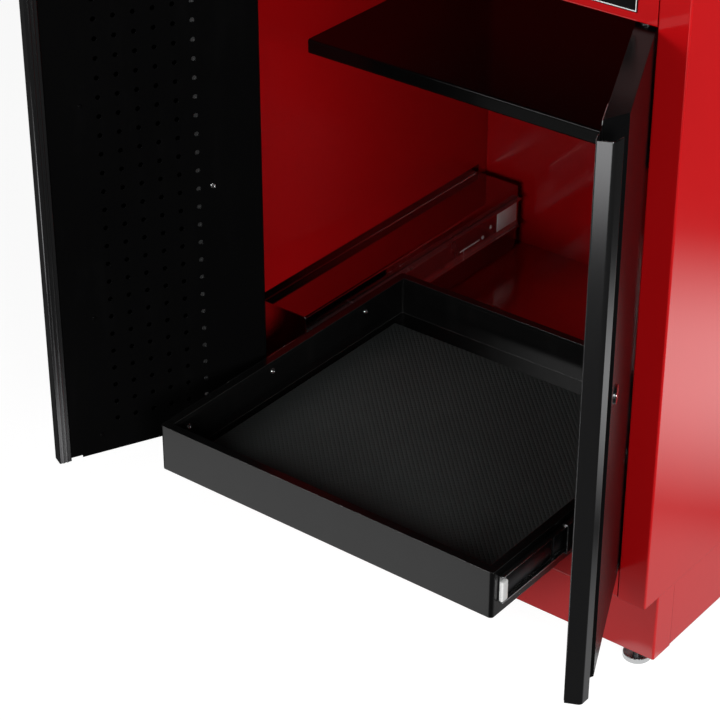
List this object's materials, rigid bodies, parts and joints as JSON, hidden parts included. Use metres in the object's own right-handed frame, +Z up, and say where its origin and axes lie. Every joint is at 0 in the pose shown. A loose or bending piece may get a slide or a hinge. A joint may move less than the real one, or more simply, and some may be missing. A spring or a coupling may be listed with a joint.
{
  "type": "garage base cabinet",
  "caption": "Steel garage base cabinet with a red body, black peg-panel doors on pivots, a fixed shelf and a pull-out tray on telescopic slides.",
  "frame": {"origin": "on the floor, on the cabinet's middle line, midway between the back and the free edges of the open doors", "axes": "+X to the right of the front, +Y from the front to the back, +Z up"},
  "size_m": [0.8226, 0.8865, 0.952],
  "materials": {
    "red_enamel": "gloss red enamel",
    "black_enamel": "satin black enamel",
    "pull_grey": "satin dark grey",
    "shelf_black": "gloss black enamel",
    "tray_grey": "satin dark grey enamel",
    "mat_rubber": "matt ribbed rubber",
    "black_plastic": "matt black",
    "lock_chrome": "polished",
    "dark_steel": "dark oxide",
    "zinc_steel": "bright zinc plate"
  },
  "bodies": {
    "cabinet": {"left_side_panel": "red_enamel", "right_side_panel": "red_enamel", "header_rail": "red_enamel", "bottom_rail": "red_enamel", "top_panel": "red_enamel", "back_panel": "red_enamel", "floor_panel": "red_enamel", "plinth_front": "red_enamel", "plinth_left": "red_enamel", "plinth_right": "red_enamel", "plinth_back": "red_enamel", "foot_nuts": "zinc_steel", "foot_studs": "dark_steel", "foot_pads": "zinc_steel", "shelf": "shelf_black", "shelf_clips": "zinc_steel", "left_slide_box": "red_enamel", "right_slide_box": "red_enamel", "left_slide_outer": "zinc_steel", "right_slide_outer": "zinc_steel", "hinge_bushes": "black_plastic", "door_catches": "black_plastic"},
    "left_door": {"left_door_shell": "black_enamel", "left_peg_panel": "black_enamel", "left_pull": "pull_grey", "left_hinge_pins": "zinc_steel", "left_strike": "zinc_steel"},
    "right_door": {"right_door_shell": "black_enamel", "right_peg_panel": "black_enamel", "right_pull": "pull_grey", "right_hinge_pins": "zinc_steel", "right_strike": "zinc_steel", "lock_barrel": "lock_chrome", "lock_nut": "zinc_steel"},
    "lock": {"lock_plug": "lock_chrome", "lock_cam": "zinc_steel"},
    "tray": {"tray_pan": "tray_grey", "tray_mat": "mat_rubber", "left_slide_inner": "zinc_steel", "right_slide_inner": "zinc_steel"},
    "left_middle": {"left_slide_middle": "zinc_steel"},
    "right_middle": {"right_slide_middle": "zinc_steel"}
  },
  "joints": [
    {"name": "left_door_swing", "type": "hinge", "parent": "cabinet", "child": "left_door", "pos_m": [-0.286, -0.17962, 0.506], "axis": [0, 0, -1], "range_deg": [-25, 5]},
    {"name": "right_door_swing", "type": "hinge", "parent": "cabinet", "child": "right_door", "pos_m": [0.286, -0.17962, 0.506], "axis": [0, 0, 1], "range_deg": [-25, 5]},
    {"name": "lock_turn", "type": "hinge", "parent": "right_door", "child": "lock", "pos_m": [0.38055, -0.354, 0.513], "axis": [0.9063, 0.4226, 0], "range_deg": [0, 90]},
    {"name": "tray_slide", "type": "slide", "parent": "cabinet", "child": "tray", "axis": [0, -1, 0], "range_m": [-0.308, 0.17]},
    {"name": "left_middle_slide", "type": "slide", "parent": "cabinet", "child": "left_middle", "axis": [0, -1, 0], "range_m": [-0.154, 0.085]},
    {"name": "right_middle_slide", "type": "slide", "parent": "cabinet", "child": "right_middle", "axis": [0, -1, 0], "range_m": [-0.154, 0.085]}
  ],
  "couplings": [
    {"joint": "left_middle_slide", "follows": "tray_slide", "ratio": 0.5},
    {"joint": "right_middle_slide", "follows": "tray_slide", "ratio": 0.5}
  ]
}
